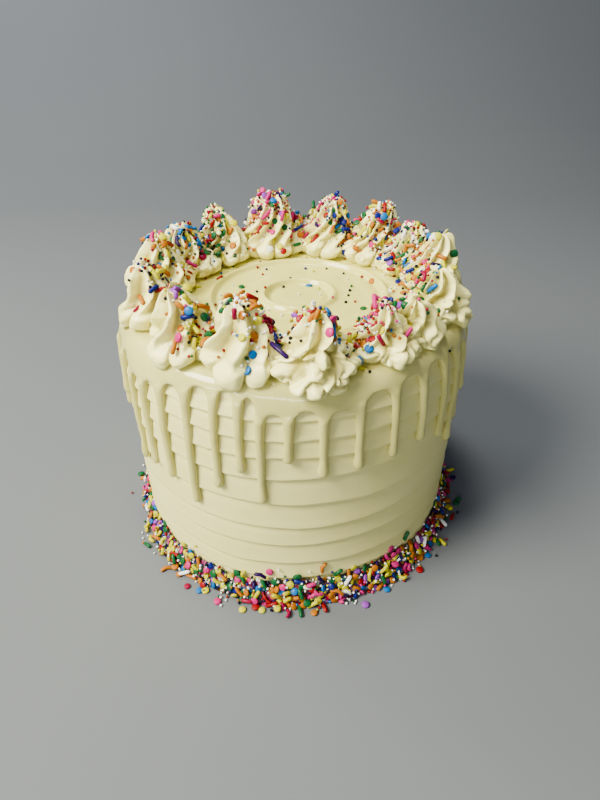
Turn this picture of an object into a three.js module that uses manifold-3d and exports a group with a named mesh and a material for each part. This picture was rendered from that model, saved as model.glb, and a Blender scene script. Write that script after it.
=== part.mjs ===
// A round, uncut buttercream drip cake with a ring of piped swirls and a sprinkle border.
// Millimetres, +Z up. The origin is on the cake's axis, on the surface it stands on.
import * as THREE from 'three';
import { mergeVertices } from 'three/addons/utils/BufferGeometryUtils.js';
import Module from 'manifold-3d';

const wasm = await Module();
wasm.setup();

// ---------------------------------------------------------------- driving dimensions

const GAP = 0.3; // air left between neighbouring pieces
const SLIVER = 0.06; // detail finer than this is merged

// Buttercream body.
const BODY_RADIUS = 81.6;
const BODY_HEIGHT = 116.3;
const SHOULDER_IN = 10; // the side leans in by this much up to the rounded top edge
const SHOULDER_DOWN = 33; // how far below the top the lean starts
const SHOULDER_POWER = 2.5; // 2 is a true ellipse, more is a tighter edge
const SHOULDER_STEPS = 4;
const BAND_EDGES = [13, 23, 35.5, 46.5, 60, 74.5, 86, 95, 103]; // heights of the spatula bands' lips
const BAND_STEP = 1.1; // how far a lip stands out over the band below it
const LIP_RISE = 0.7;
const BODY_SIDES = 48;

// Glaze skin and its drips.
const GLAZE = 1.6; // thickness
const GLAZE_CLEARANCE = 0.5; // its underside stays this far outside the body's round form
const LIP_BEVEL = 0.6;
const RING_SPACING = 0.2; // least height between two rings of points on the skin
const DRIP_RADIUS = 1.95;
const BULB_RADIUS = 2.35;
const DRIP_FACE_ANGLES = [-90, -30, 30, 90]; // a drip's half-round section, flat at the back
const DRIP_OUT = 0.6; // a drip's flat back stands this far outside the body
const DRIP_ROOT = 110; // height at which a drip has faded into the skin
const DRIP_BEND = 86; // below this height a long drip hangs upright
const ARCH_MARGIN = 2.8; // the skin's arches start this far beside a drip's centre line
const ARCH_DROP = 7; // the skin hangs this much lower beside a drip than between two
const ARCH_SHAPE = [[0, ARCH_DROP], [0.25, 1], [0.75, 1], [1, ARCH_DROP]]; // share of the gap, drop
// The drips of the best side, as angle, height of the tip and top of the arch that follows.
// Further ones follow by rule.
const FRONT_DRIPS = [
  [-148, 55, 104], [-140, 59, 106], [-131, 59, 109.8], [-121.5, 51.5, 112.8],
  [-112.5, 66, 113.5], [-105.3, 77, 112.5], [-99.4, 61.5, 106.5], [-91.6, 84, 108],
  [-82.3, 76, 107], [-72, 77.5, 111.5], [-61, 78, 112.8], [-50.5, 79.5, 113.5],
  [-40, 73, 113], [-31, 62, 111],
];
const BACK_DRIP_COUNT = 25;
const DRIP_TIP_LOW = 52;
const DRIP_TIP_HIGH = 86;
const ARCH_TOP_LOW = 107;
const ARCH_TOP_HIGH = 113.5;

// The whole decoration of the top is centred here.
const TOP_CENTRE = new THREE.Vector2(2.5, -3.5);
const SPATULA_RINGS = [16, 40.5]; // radii of the raised spatula rings
const RING_RISE = 1.2;
const RING_HALF_WIDTH = 2.4;

// Piped swirls: angle and distance from the decoration's centre, base radius, height, how far
// the crown leans in x and y, and how full the upper half is (0 a cone, 1 a dome).
const SWIRLS = [
  [-86, 64.5, 17, 24, 1.7, 1, 0.75], [-109.5, 63.5, 15.5, 25.5, -1.5, 1, 0.85],
  [-133.6, 65, 15.5, 24, -3.4, 1, 0.8], [-160.6, 65.5, 15.5, 23, -4, 1.5, 0.8],
  [174, 64, 16, 24, -1, 3, 0.7], [152, 62, 16.5, 22.5, -3, -0.5, 0.7],
  [129, 61, 16.5, 24, -4.5, 2.5, 0.7], [103.6, 59.5, 19, 29, 0.5, 1, 0.9],
  [74, 59.5, 17.5, 27, 2.4, -2, 0.45], [48.5, 60, 18, 26, 4.5, 0, 0.8],
  [27.5, 61.5, 14.5, 23, 1, -3, 0.8], [7, 63.5, 14.5, 26, 1, -3, 0.9],
  [-18, 63.5, 15, 21, -2, -2, 0.8], [-41, 62.5, 12, 19, -2, -3, 0.8],
  [-57.5, 60.5, 14, 20, -0.5, -1.5, 0.6],
];
const FIN_COUNT = 8;
const FIN_SPREAD = 0.35; // how much wider apart the fins stand on the outer side
const FIN_TWIST = 62; // degrees from base to crown, anticlockwise seen from above
const LOBE_UNEVENNESS = 0.1;
const LOBE_SAG = 5; // furthest that a lobe droops over the cake's rim
// A swirl's outline from base to crown: height, radius of a slender and of a full swirl and
// groove depth as fractions, and share of the twist.
const SWIRL_RINGS = [
  { rise: 0, slender: 0.8, full: 0.8, groove: 0.14, turn: 0 },
  { rise: 0.13, slender: 1, full: 1, groove: 0.18, turn: 0.01 },
  { rise: 0.31, slender: 0.82, full: 0.9, groove: 0.28, turn: 0.14 },
  { rise: 0.52, slender: 0.67, full: 0.8, groove: 0.36, turn: 0.55 },
  { rise: 0.76, slender: 0.47, full: 0.64, groove: 0.42, turn: 0.88 },
  { rise: 0.95, slender: 0.26, full: 0.38, groove: 0.4, turn: 0.98 },
];

// Sprinkle mix.
const ROD_LENGTH = 6.4;
const ROD_RADIUS = 0.92;
const ROD_SIDES = 5;
const DISC_RADIUS = 1.8;
const DISC_THICKNESS = 1.1;
const DISC_SIDES = 6;
const SWIRL_SPRINKLES = 2; // on each swirl
const POOL_DISCS = 5; // on the smooth middle
const BORDER_SPRINKLES = 29;

// Sprinkle bank round the foot.
const BANK_WIDTH = 7.4;
const BANK_HEIGHT = 12.5;
const BANK_CLEARANCE = 0.6; // its wall stays this far outside the body's round form

// ---------------------------------------------------------------- helpers

// A repeatable stream of numbers from 0 to 1.
function randomStream(seed) {
  let state = seed;
  return () => {
    state = (state * 1664525 + 1013904223) % 4294967296;
    return state / 4294967296;
  };
}

function between(low, high, share) {
  return low + (high - low) * share;
}

function polar(radius, degrees, z) {
  const angle = THREE.MathUtils.degToRad(degrees);
  return new THREE.Vector3(radius * Math.cos(angle), radius * Math.sin(angle), z);
}

function solidOf(geometry) {
  const bare = geometry.clone();
  bare.deleteAttribute('normal');
  bare.deleteAttribute('uv');
  const merged = mergeVertices(bare, 1e-4);
  const mesh = new wasm.Mesh({
    numProp: 3,
    vertProperties: new Float32Array(merged.attributes.position.array),
    triVerts: new Uint32Array(merged.index.array),
  });
  return new wasm.Manifold(mesh);
}

function geometryOf(solid) {
  const { vertProperties, triVerts } = solid.getMesh();
  const geometry = new THREE.BufferGeometry();
  geometry.setAttribute('position', new THREE.BufferAttribute(vertProperties, 3));
  geometry.setIndex(new THREE.BufferAttribute(triVerts, 1));
  geometry.computeVertexNormals();
  return geometry;
}

function join(solids) {
  return solids.reduce((whole, piece) => whole.add(piece));
}

// The largest body of a solid, without scraps that a cut left loose and without slivers.
function mainBody(solid) {
  const bodies = solid.decompose();
  const largest = bodies.reduce((a, b) => (a.volume() > b.volume() ? a : b));
  return largest.simplify(SLIVER);
}

// A solid turned about +Z from an outline of [radius, z] pairs, listed from bottom to top.
function turned(outline, sides) {
  const points = outline.map(([radius, z]) => new THREE.Vector2(radius, z));
  const geometry = new THREE.LatheGeometry(points, sides);
  geometry.rotateX(Math.PI / 2);
  return solidOf(geometry);
}

// The faces between two rings of points. A ring may have several times as many as the other.
function stitch(lower, lowerCount, upper, upperCount) {
  const faces = [];
  const steps = Math.max(lowerCount, upperCount);
  let i = 0;
  let j = 0;
  for (let step = 1; step <= steps; step += 1) {
    const nextI = Math.floor((step * lowerCount) / steps);
    const nextJ = Math.floor((step * upperCount) / steps);
    if (nextI > i) {
      faces.push(lower + i, lower + (nextI % lowerCount), upper + (j % upperCount));
    }
    if (nextJ > j) {
      faces.push(lower + (nextI % lowerCount), upper + (nextJ % upperCount), upper + j);
    }
    i = nextI;
    j = nextJ;
  }
  return faces;
}

// A closed skin through rings of points, each anticlockwise seen from the last ring.
// The ends are closed by fans, to the given points or to the middles of the end rings.
function lofted(rings, tip = middle(rings[rings.length - 1]), root = middle(rings[0])) {
  const points = rings.flat();
  const starts = rings.map((_, index) => rings.slice(0, index).flat().length);
  const last = rings.length - 1;
  const faces = [];
  for (let i = 0; i < last; i += 1) {
    faces.push(...stitch(starts[i], rings[i].length, starts[i + 1], rings[i + 1].length));
  }
  const foot = points.push(root) - 1;
  const head = points.push(tip) - 1;
  rings[0].forEach((_, j) => {
    faces.push(foot, (j + 1) % rings[0].length, j);
  });
  rings[last].forEach((_, j) => {
    faces.push(head, starts[last] + j, starts[last] + ((j + 1) % rings[last].length));
  });
  const geometry = new THREE.BufferGeometry().setFromPoints(points);
  geometry.setIndex(faces);
  return solidOf(geometry);
}

function middle(ring) {
  const sum = ring.reduce((total, point) => total.add(point), new THREE.Vector3());
  return sum.divideScalar(ring.length);
}

// A closed band of equal upright sections, given one after another anticlockwise from above.
function banded(sections) {
  const count = sections[0].length;
  const faces = [];
  sections.forEach((_, i) => {
    const next = ((i + 1) % sections.length) * count;
    faces.push(...stitch(i * count, count, next, count));
  });
  const geometry = new THREE.BufferGeometry().setFromPoints(sections.flat());
  geometry.setIndex(faces);
  return solidOf(geometry);
}

// ---------------------------------------------------------------- cake outline

// How far a superellipse of half width and height 1 reaches at a distance from its middle.
function rounded(share) {
  return (1 - share ** SHOULDER_POWER) ** (1 / SHOULDER_POWER);
}

// Radius of the side at a height, for a surface this far outside the body.
function sideRadius(z, offset) {
  const springing = BODY_HEIGHT + offset - SHOULDER_DOWN;
  const share = THREE.MathUtils.clamp((z - springing) / SHOULDER_DOWN, 0, 1);
  return BODY_RADIUS + offset - SHOULDER_IN * (1 - rounded(share));
}

// Height of the top surface at a radius, for a surface this far outside the body.
function topHeight(radius, offset) {
  const share = (radius - (BODY_RADIUS + offset - SHOULDER_IN)) / SHOULDER_IN;
  return BODY_HEIGHT + offset - SHOULDER_DOWN * (1 - rounded(THREE.MathUtils.clamp(share, 0, 1)));
}

// Height on the rounded edge for a step from its springing at 0 up to the flat top.
function edgeHeight(step, offset) {
  const angle = (step / SHOULDER_STEPS) * (Math.PI / 2);
  const share = Math.sin(angle) ** (2 / SHOULDER_POWER);
  return BODY_HEIGHT + offset - SHOULDER_DOWN * (1 - share);
}

// Outline of the rounded edge and flat top, from a step up to the axis.
function topOutline(offset, firstStep) {
  const outline = [];
  for (let step = firstStep; step <= SHOULDER_STEPS; step += 1) {
    const z = edgeHeight(step, offset);
    outline.push([sideRadius(z, offset), z]);
  }
  outline.push([0, BODY_HEIGHT + offset]);
  return outline;
}

function cakeBody() {
  const outline = [[0, 0], [BODY_RADIUS - BAND_STEP / 2, 0]];
  for (const edge of BAND_EDGES) {
    outline.push([sideRadius(edge, 0) - BAND_STEP, edge]);
    outline.push([sideRadius(edge + LIP_RISE, 0), edge + LIP_RISE]);
  }
  outline.push(...topOutline(0, 2));
  return turned(outline, BODY_SIDES);
}

// The body's smooth envelope, grown by an offset, to cut what lies against it.
function envelope(offset) {
  const facetAllowance = 1 / Math.cos(Math.PI / BODY_SIDES);
  const outline = [[0, -1], [BODY_RADIUS + offset, -1], ...topOutline(offset, 0)];
  return turned(outline.map(([radius, z]) => [radius * facetAllowance, z]), BODY_SIDES);
}

// ---------------------------------------------------------------- glaze

function allDrips() {
  const random = randomStream(7);
  const drips = FRONT_DRIPS.map(([angle, tip, archTop]) => ({ angle, tip, archTop }));
  const start = drips[drips.length - 1].angle;
  const sweep = 360 + drips[0].angle - start;
  const pitch = sweep / (BACK_DRIP_COUNT + 1);
  for (let i = 1; i <= BACK_DRIP_COUNT; i += 1) {
    const angle = start + pitch * (i + between(-0.18, 0.18, random()));
    const tip = between(DRIP_TIP_LOW, DRIP_TIP_HIGH, random());
    drips.push({ angle, tip, archTop: between(ARCH_TOP_LOW, ARCH_TOP_HIGH, random()) });
  }
  return drips;
}

// Height of a ring of points on the rounded edge. Where the skin ends above it, the ring keeps
// to its place in the order, a little above the skin's lower edge.
function shoulderHeight(step, offset, lowerEdge, place) {
  const raised = lowerEdge + RING_SPACING * place;
  return Math.min(BODY_HEIGHT + offset, Math.max(edgeHeight(step, offset), raised));
}

// The glaze over the top and down to its arched lower edge: a skin from the middle of the
// underside, round the edge and back to the middle of the top.
function glazeSkin(drips) {
  const columns = [];
  drips.forEach((drip, index) => {
    const turn = index + 1 < drips.length ? 0 : 360;
    const nextAngle = drips[(index + 1) % drips.length].angle + turn;
    const margin = THREE.MathUtils.radToDeg(ARCH_MARGIN / BODY_RADIUS);
    for (const [share, drop] of ARCH_SHAPE) {
      const angle = between(drip.angle + margin, nextAngle - margin, share);
      columns.push({ angle, edge: drip.archTop - drop });
    }
  });
  const ringAt = (offset, heightOf) => columns.map((column) => {
    const z = heightOf(column);
    return polar(sideRadius(z, offset), column.angle, z);
  });
  const rings = [];
  [4, 3, 2].forEach((step, index) => {
    rings.push(ringAt(GLAZE_CLEARANCE, ({ edge }) => shoulderHeight(step, GLAZE_CLEARANCE, edge, 3 - index)));
  });
  rings.push(ringAt(GLAZE_CLEARANCE, ({ edge }) => edge));
  rings.push(ringAt(GLAZE, ({ edge }) => edge + LIP_BEVEL));
  [2, 3, 4].forEach((step, index) => {
    rings.push(ringAt(GLAZE, ({ edge }) => shoulderHeight(step, GLAZE, edge + LIP_BEVEL, index + 1)));
  });
  const top = BODY_HEIGHT + GLAZE;
  for (const radius of [...SPATULA_RINGS].reverse()) {
    for (const [beside, rise] of [[1, 0], [0, 1], [-1, 0]]) {
      rings.push(drips.map((_, index) => {
        const angle = columns[0].angle + (360 / drips.length) * index;
        const point = polar(radius + beside * RING_HALF_WIDTH, angle, top);
        point.x += TOP_CENTRE.x;
        point.y += TOP_CENTRE.y;
        point.z += rise * RING_RISE;
        return point;
      }));
    }
  }
  return lofted(rings);
}

// A drip is a half-round bead with a flat back. Its upper end fades into the skin.
function dripBead({ angle, tip, archTop }) {
  const outline = [
    [BULB_RADIUS * 0.85, tip + 0.9], [BULB_RADIUS, tip + 3],
    [DRIP_RADIUS, Math.max(tip + 8, DRIP_BEND)], [DRIP_RADIUS * 1.15, archTop - ARCH_DROP],
  ];
  const back = (z) => polar(sideRadius(z, DRIP_OUT), angle, 0);
  const rings = outline.map(([radius, z]) =>
    DRIP_FACE_ANGLES.map((face) => polar(radius, angle + face, z).add(back(z))));
  return lofted(rings, back(DRIP_ROOT).setZ(DRIP_ROOT), back(tip).setZ(tip));
}

function glaze() {
  const drips = allDrips();
  const pieces = [glazeSkin(drips), ...drips.map(dripBead)];
  const random = randomStream(31);
  for (let i = 0; i < POOL_DISCS; i += 1) {
    const angle = (360 / POOL_DISCS) * (i + random() / 2);
    const place = polar(between(8, 34, random()), angle, BODY_HEIGHT + GLAZE + 0.2);
    place.x += TOP_CENTRE.x;
    place.y += TOP_CENTRE.y;
    pieces.push(sprinkle('disc', place, new THREE.Vector3(0, 0, 1), random));
  }
  return mainBody(join(pieces));
}

// ---------------------------------------------------------------- sprinkles

// A disc lies flat on the surface and a rod lies along it, both sunk in a little.
function sprinkle(kind, place, normal, random) {
  let geometry;
  if (kind === 'disc') {
    geometry = new THREE.CylinderGeometry(DISC_RADIUS, DISC_RADIUS, DISC_THICKNESS, DISC_SIDES);
  } else {
    geometry = new THREE.CylinderGeometry(ROD_RADIUS, ROD_RADIUS, ROD_LENGTH, ROD_SIDES);
    geometry.rotateZ(Math.PI / 2);
  }
  geometry.rotateY(random() * Math.PI);
  const upright = new THREE.Quaternion();
  upright.setFromUnitVectors(new THREE.Vector3(0, 1, 0), normal.clone().normalize());
  geometry.applyQuaternion(upright);
  geometry.translate(place.x, place.y, place.z);
  return solidOf(geometry);
}

// ---------------------------------------------------------------- swirls

function swirlCentre([angle, distance]) {
  const centre = polar(distance, angle, BODY_HEIGHT + GLAZE + GAP);
  centre.x += TOP_CENTRE.x;
  centre.y += TOP_CENTRE.y;
  return centre;
}

// Degrees round a swirl of a fin's place: the fins stand wider apart near 0 than near 180.
function finAngle(place) {
  const even = (place / FIN_COUNT) * 2 * Math.PI;
  let angle = even;
  for (let pass = 0; pass < 6; pass += 1) {
    angle = even + FIN_SPREAD * Math.sin(angle);
  }
  return THREE.MathUtils.radToDeg(angle);
}

function swirl(index) {
  const [outward, , baseRadius, height, leanX, leanY, fullness] = SWIRLS[index];
  const random = randomStream(100 + index);
  const centre = swirlCentre(SWIRLS[index]);
  const phase = random();
  const lobes = Array.from({ length: FIN_COUNT }, () => 1 + between(-1, 1, random()) * LOBE_UNEVENNESS);
  const pointAt = (ring, step) => {
    const ridge = step % 2 === 0;
    const outline = between(ring.slender, ring.full, fullness);
    const reach = outline * (ridge ? lobes[step / 2] : 1 - ring.groove);
    const angle = outward + finAngle(step / 2 + phase) + (ring.turn - 0.5) * FIN_TWIST;
    const point = polar(baseRadius * reach, angle, 0);
    point.x += centre.x + leanX * ring.rise ** 2;
    point.y += centre.y + leanY * ring.rise ** 2;
    const sag = BODY_HEIGHT + GLAZE - topHeight(Math.hypot(point.x, point.y), GLAZE);
    point.z = centre.z + height * ring.rise - Math.min(sag, LOBE_SAG) * (1 - ring.rise) ** 2;
    return point;
  };
  const rings = SWIRL_RINGS.map((ring) =>
    Array.from({ length: 2 * FIN_COUNT }, (_, step) => pointAt(ring, step)));
  const crown = new THREE.Vector3(centre.x + leanX, centre.y + leanY, centre.z + height);
  const pieces = [lofted(rings, crown)];
  const inward = Math.atan2(TOP_CENTRE.y - centre.y, TOP_CENTRE.x - centre.x);
  for (let i = 0; i < SWIRL_SPRINKLES; i += 1) {
    const side = inward + between(-1.1, 1.1, random());
    const rise = i === 0 ? 0.9 : 0.62;
    const out = baseRadius * (i === 0 ? 0.14 : 0.5);
    const place = new THREE.Vector3(
      centre.x + leanX * rise ** 2 + out * Math.cos(side),
      centre.y + leanY * rise ** 2 + out * Math.sin(side),
      centre.z + height * rise,
    );
    const normal = new THREE.Vector3(Math.cos(side), Math.sin(side), 0.9);
    pieces.push(sprinkle(i === 0 ? 'rod' : 'disc', place, normal, random));
  }
  return mainBody(trimmedToNeighbours(join(pieces), index).subtract(envelope(GLAZE + GAP)));
}

// Cuts a swirl back to the upright planes halfway to its two neighbours.
function trimmedToNeighbours(solid, index) {
  let kept = solid;
  const own = swirlCentre(SWIRLS[index]);
  for (const step of [-1, 1]) {
    const neighbour = (index + step + SWIRLS.length) % SWIRLS.length;
    const other = swirlCentre(SWIRLS[neighbour]);
    const share = SWIRLS[index][2] / (SWIRLS[index][2] + SWIRLS[neighbour][2]);
    const meeting = own.clone().lerp(other, share);
    const away = own.clone().sub(other).setZ(0).normalize();
    kept = kept.trimByPlane(away.toArray(), away.dot(meeting) + GAP / 2);
  }
  return kept;
}

// ---------------------------------------------------------------- border

// Width and height of the bank at an angle: a slow, uneven drift round the foot.
function bankSize(degrees) {
  const angle = THREE.MathUtils.degToRad(degrees);
  const drift = 0.1 * Math.sin(8 * angle + 2.2) - 0.08 * Math.cos(2 * angle);
  const climb = 0.12 * Math.sin(4 * angle + 0.4) + 0.1 * Math.sin(11 * angle);
  return { width: BANK_WIDTH * (1 + drift), height: BANK_HEIGHT * (1 + climb) };
}

function bankSection(degrees) {
  const { width, height } = bankSize(degrees);
  const wall = BODY_RADIUS + BANK_CLEARANCE;
  const foot = BODY_RADIUS + width;
  return [
    polar(wall, degrees, 0), polar(foot, degrees, 0), polar(foot - 1, degrees, 1.6),
    polar(BODY_RADIUS + width * 0.5, degrees, height * 0.6), polar(wall, degrees, height),
  ];
}

function sprinkleBorder() {
  const random = randomStream(71);
  const sections = [];
  for (let side = 0; side < BODY_SIDES; side += 1) {
    sections.push(bankSection((360 / BODY_SIDES) * side).reverse());
  }
  const pieces = [banded(sections)];
  for (let i = 0; i < BORDER_SPRINKLES; i += 1) {
    const degrees = (360 / BORDER_SPRINKLES) * (i + between(-0.2, 0.2, random()));
    const { width, height } = bankSize(degrees);
    const share = [0.12, 0.55, 0.85][i % 3];
    const place = polar(BODY_RADIUS + 1 + width * (1 - share) ** 1.3, degrees, height * share + 0.4);
    const normal = polar(1, degrees + between(-25, 25, random()), between(0.7, 1.6, random()));
    pieces.push(sprinkle(i % 2 === 0 ? 'disc' : 'rod', place, normal, random));
  }
  const clear = envelope(GAP);
  return mainBody(join(pieces).trimByPlane([0, 0, 1], 0).subtract(clear));
}

// ---------------------------------------------------------------- object

function named(name, solid, color, roughness) {
  const material = new THREE.MeshStandardMaterial({ color, roughness, metalness: 0 });
  const mesh = new THREE.Mesh(geometryOf(solid), material);
  mesh.name = name;
  return mesh;
}

const group = new THREE.Group();
group.add(named('cake_body', cakeBody(), 0xe9e2c4, 0.55));
group.add(named('glaze', glaze(), 0xf1ead0, 0.25));
SWIRLS.forEach((_, index) => {
  const number = String(index + 1).padStart(2, '0');
  group.add(named(`swirl_${number}`, swirl(index), 0xf0e8cf, 0.55));
});
group.add(named('sprinkle_border', sprinkleBorder(), 0xd86a8a, 0.5));

export default group;
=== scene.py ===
# A round buttercream drip cake: banded sides, poured glaze, piped swirls and sprinkles.
# Metres, +Z up, the cake's axis at the origin.
import math
import random

import bpy
import numpy as np
from mathutils import Matrix, Vector, noise
from mathutils.bvhtree import BVHTree


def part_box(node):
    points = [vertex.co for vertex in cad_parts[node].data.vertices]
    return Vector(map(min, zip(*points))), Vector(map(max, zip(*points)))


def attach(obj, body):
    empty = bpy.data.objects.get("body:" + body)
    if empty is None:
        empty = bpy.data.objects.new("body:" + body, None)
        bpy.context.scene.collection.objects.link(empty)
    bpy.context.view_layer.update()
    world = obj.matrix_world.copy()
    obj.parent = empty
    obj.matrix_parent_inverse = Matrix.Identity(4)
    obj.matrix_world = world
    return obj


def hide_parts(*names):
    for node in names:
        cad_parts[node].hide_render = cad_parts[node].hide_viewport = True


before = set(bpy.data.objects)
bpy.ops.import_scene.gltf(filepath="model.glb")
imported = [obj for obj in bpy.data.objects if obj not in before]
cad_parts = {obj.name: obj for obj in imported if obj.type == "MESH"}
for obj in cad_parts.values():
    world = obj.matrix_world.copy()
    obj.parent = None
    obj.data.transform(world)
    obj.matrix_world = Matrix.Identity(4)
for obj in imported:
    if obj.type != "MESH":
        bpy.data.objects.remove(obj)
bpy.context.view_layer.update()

MM = 0.001
BODY = "root"


# ------------------------------------------------------------------ sizes, in millimetres

def size_of(node):
    low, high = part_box(node)
    return [(high[i] - low[i]) / MM for i in range(3)]


BODY_RADIUS = size_of("cake_body")[0] / 2
BODY_HEIGHT = size_of("cake_body")[2]
SHOULDER_IN = 10.0
SHOULDER_DOWN = 33.0
SHOULDER_POWER = 2.5
GLAZE = 1.6
GLAZE_TOP = BODY_HEIGHT + GLAZE
TOP_CENTRE = Vector((2.5, -3.5))

# Buttercream bands on the side.
BAND_EDGES = (13, 23, 35.5, 46.5, 60, 74.5, 86, 95, 103)
BAND_RECESS = 1.4
LIP_HEIGHT = 0.7
LAST_BAND_TOP = 110.0

# Glaze.
RING_INNER_RADIUS = 63.0
PLATE_RADIUS = 69.0
SPATULA_RINGS = (16.0, 40.5)
DRIP_RADIUS = 1.95
BULB_RADIUS = 2.35
ARCH_DROP = 7.0
ARCH_TOP_LOW = 107.0
ARCH_TOP_HIGH = 113.5
# The drips of the best side: angle, height of the tip and top of the arch that follows.
FRONT_DRIPS = (
    (-148, 55, 104), (-140, 59, 106), (-131, 59, 109.8), (-121.5, 51.5, 112.8),
    (-112.5, 66, 113.5), (-105.3, 77, 112.5), (-99.4, 61.5, 106.5), (-91.6, 84, 108),
    (-82.3, 76, 107), (-72, 77.5, 111.5), (-61, 78, 112.8), (-50.5, 79.5, 113.5),
    (-40, 73, 113), (-31, 62, 111),
)
BACK_DRIP_COUNT = 25
DRIP_TIP_LOW = 52.0
DRIP_TIP_HIGH = 86.0

# Swirls: angle and distance from the decoration's centre, base radius, height, how far the
# crown leans in x and y, how full the upper half is (0 a cone, 1 a dome) and how ruffled.
SWIRLS = (
    (-86, 64.5, 17, 24, 1.7, 1, 0.75, 1), (-109.5, 63.5, 15.5, 25.5, -1.5, 1, 0.85, 0.3),
    (-133.6, 65, 15.5, 24, -3.4, 1, 0.8, 0.3), (-160.6, 65.5, 15.5, 23, -4, 1.5, 0.8, 0.3),
    (174, 64, 16, 24, -1, 3, 0.7, 0.4), (152, 62, 16.5, 22.5, -3, -0.5, 0.7, 0.5),
    (129, 61, 16.5, 24, -4.5, 2.5, 0.7, 0.5), (103.6, 59.5, 19, 29, 0.5, 1, 0.9, 0.3),
    (74, 59.5, 17.5, 27, 2.4, -2, 0.45, 0.4), (48.5, 60, 18, 26, 4.5, 0, 0.8, 0.5),
    (27.5, 61.5, 14.5, 23, 1, -3, 0.8, 0.5), (7, 63.5, 14.5, 26, 1, -3, 0.9, 0.4),
    (-18, 63.5, 15, 21, -2, -2, 0.8, 0.6), (-41, 62.5, 12, 19, -2, -3, 0.8, 0.6),
    (-57.5, 60.5, 14, 20, -0.5, -1.5, 0.6, 1),
)
FIN_COUNT = 8
FIN_SPREAD = 0.35
FIN_TWIST = 62.0
LOBE_SAG = 5.0
CURL_DEPTH = 5.0


# ------------------------------------------------------------------ small helpers

class Stream:
    """The same repeatable stream of numbers as the solids use."""

    def __init__(self, seed):
        self.state = seed

    def __call__(self):
        self.state = (self.state * 1664525 + 1013904223) % 4294967296
        return self.state / 4294967296


def between(low, high, share):
    return low + (high - low) * share


def smooth_step(low, high, x):
    t = min(1.0, max(0.0, (x - low) / (high - low)))
    return t * t * (3 - 2 * t)


def polar(radius, degrees, z=0.0):
    a = math.radians(degrees)
    return Vector((radius * math.cos(a), radius * math.sin(a), z))


def deselect_all():
    if bpy.context.mode != "OBJECT":
        bpy.ops.object.mode_set(mode="OBJECT")
    bpy.ops.object.select_all(action="DESELECT")


def settle(piece, name, material, nodes=()):
    """Names a finished piece and ties it to the cake."""
    piece.name = name
    piece.data.name = name
    if material:
        piece.data.materials.clear()
        piece.data.materials.append(material)
    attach(piece, BODY)
    if nodes:
        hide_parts(*nodes)
    return piece


def shade_smooth(piece):
    deselect_all()
    piece.select_set(True)
    bpy.context.view_layer.objects.active = piece
    bpy.ops.object.shade_smooth()
    piece.select_set(False)


def apply_modifiers(piece):
    deselect_all()
    piece.select_set(True)
    bpy.context.view_layer.objects.active = piece
    for modifier in list(piece.modifiers):
        bpy.ops.object.modifier_apply(modifier=modifier.name)
    piece.select_set(False)


def turned_blank(profile, sides, closed_top=True, closed_foot=True, centre=(0.0, 0.0)):
    """A turned shape: a disc is added and its face is extruded and scaled up the profile."""
    deselect_all()
    radius, z = profile[0]
    x, y = centre[0] * MM, centre[1] * MM
    bpy.ops.mesh.primitive_circle_add(
        vertices=sides, radius=radius * MM, fill_type="NGON", location=(0, 0, 0))
    piece = bpy.context.object
    piece.data.transform(Matrix.Translation((x, y, z * MM)))
    bpy.ops.object.mode_set(mode="EDIT")
    bpy.ops.mesh.select_mode(type="FACE")
    bpy.ops.mesh.select_all(action="SELECT")
    for next_radius, next_z in profile[1:]:
        bpy.ops.mesh.extrude_region_move(
            TRANSFORM_OT_translate={"value": (0, 0, (next_z - z) * MM)})
        scale = next_radius / radius
        bpy.ops.transform.resize(value=(scale, scale, 1), center_override=(x, y, next_z * MM))
        radius, z = next_radius, next_z
    if closed_top:
        bpy.ops.mesh.poke()
    else:
        bpy.ops.mesh.delete(type="ONLY_FACE")
    bpy.ops.mesh.select_all(action="SELECT")
    bpy.ops.mesh.normals_make_consistent(inside=False)
    bpy.ops.object.mode_set(mode="OBJECT")
    piece.select_set(False)
    return piece


def coordinates(piece):
    flat = np.empty(len(piece.data.vertices) * 3, dtype=np.float64)
    piece.data.vertices.foreach_get("co", flat)
    return flat.reshape(-1, 3) / MM


def set_coordinates(piece, points):
    piece.data.vertices.foreach_set("co", (np.asarray(points) * MM).ravel())
    piece.data.update()


def rings_in_order(piece):
    """Each face's corners from its lowest on, the faces sorted by them: the same on every run."""
    rings = []
    for face in piece.data.polygons:
        ring = list(face.vertices)
        start = ring.index(min(ring))
        rings.append(ring[start:] + ring[:start])
    return sorted(rings)


def reshape(piece, move):
    """Moves each vertex of a piece, given and returned in millimetres."""
    points = coordinates(piece)
    set_coordinates(piece, [move(*point) for point in points])


def wave(x, y, z, seed=0.0):
    """Smooth noise from about -1 to 1."""
    return noise.noise(Vector((x + seed * 7.31, y - seed * 3.17, z + seed * 1.73)))


def rounded(share):
    """How far a superellipse of half width and height 1 reaches at a distance from its middle."""
    share = min(1.0, max(0.0, share))
    return (1 - share ** SHOULDER_POWER) ** (1 / SHOULDER_POWER)


def side_radius(z, offset=0.0):
    share = (z - (BODY_HEIGHT + offset - SHOULDER_DOWN)) / SHOULDER_DOWN
    return BODY_RADIUS + offset - SHOULDER_IN * (1 - rounded(share))


def top_height(radius, offset):
    share = (radius - (BODY_RADIUS + offset - SHOULDER_IN)) / SHOULDER_IN
    return BODY_HEIGHT + offset - SHOULDER_DOWN * (1 - rounded(share))


def edge_height(share, edge, offset):
    """Height on the rounded edge for a share from 0 at the lower edge to 1 at the flat top."""
    low = max(0.0, (edge - (BODY_HEIGHT + offset - SHOULDER_DOWN)) / SHOULDER_DOWN)
    angle = between(math.asin(low ** (SHOULDER_POWER / 2)), math.pi / 2, share)
    rise = math.sin(angle) ** (2 / SHOULDER_POWER)
    return BODY_HEIGHT + offset - SHOULDER_DOWN * (1 - rise)


# ------------------------------------------------------------------ materials

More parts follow.
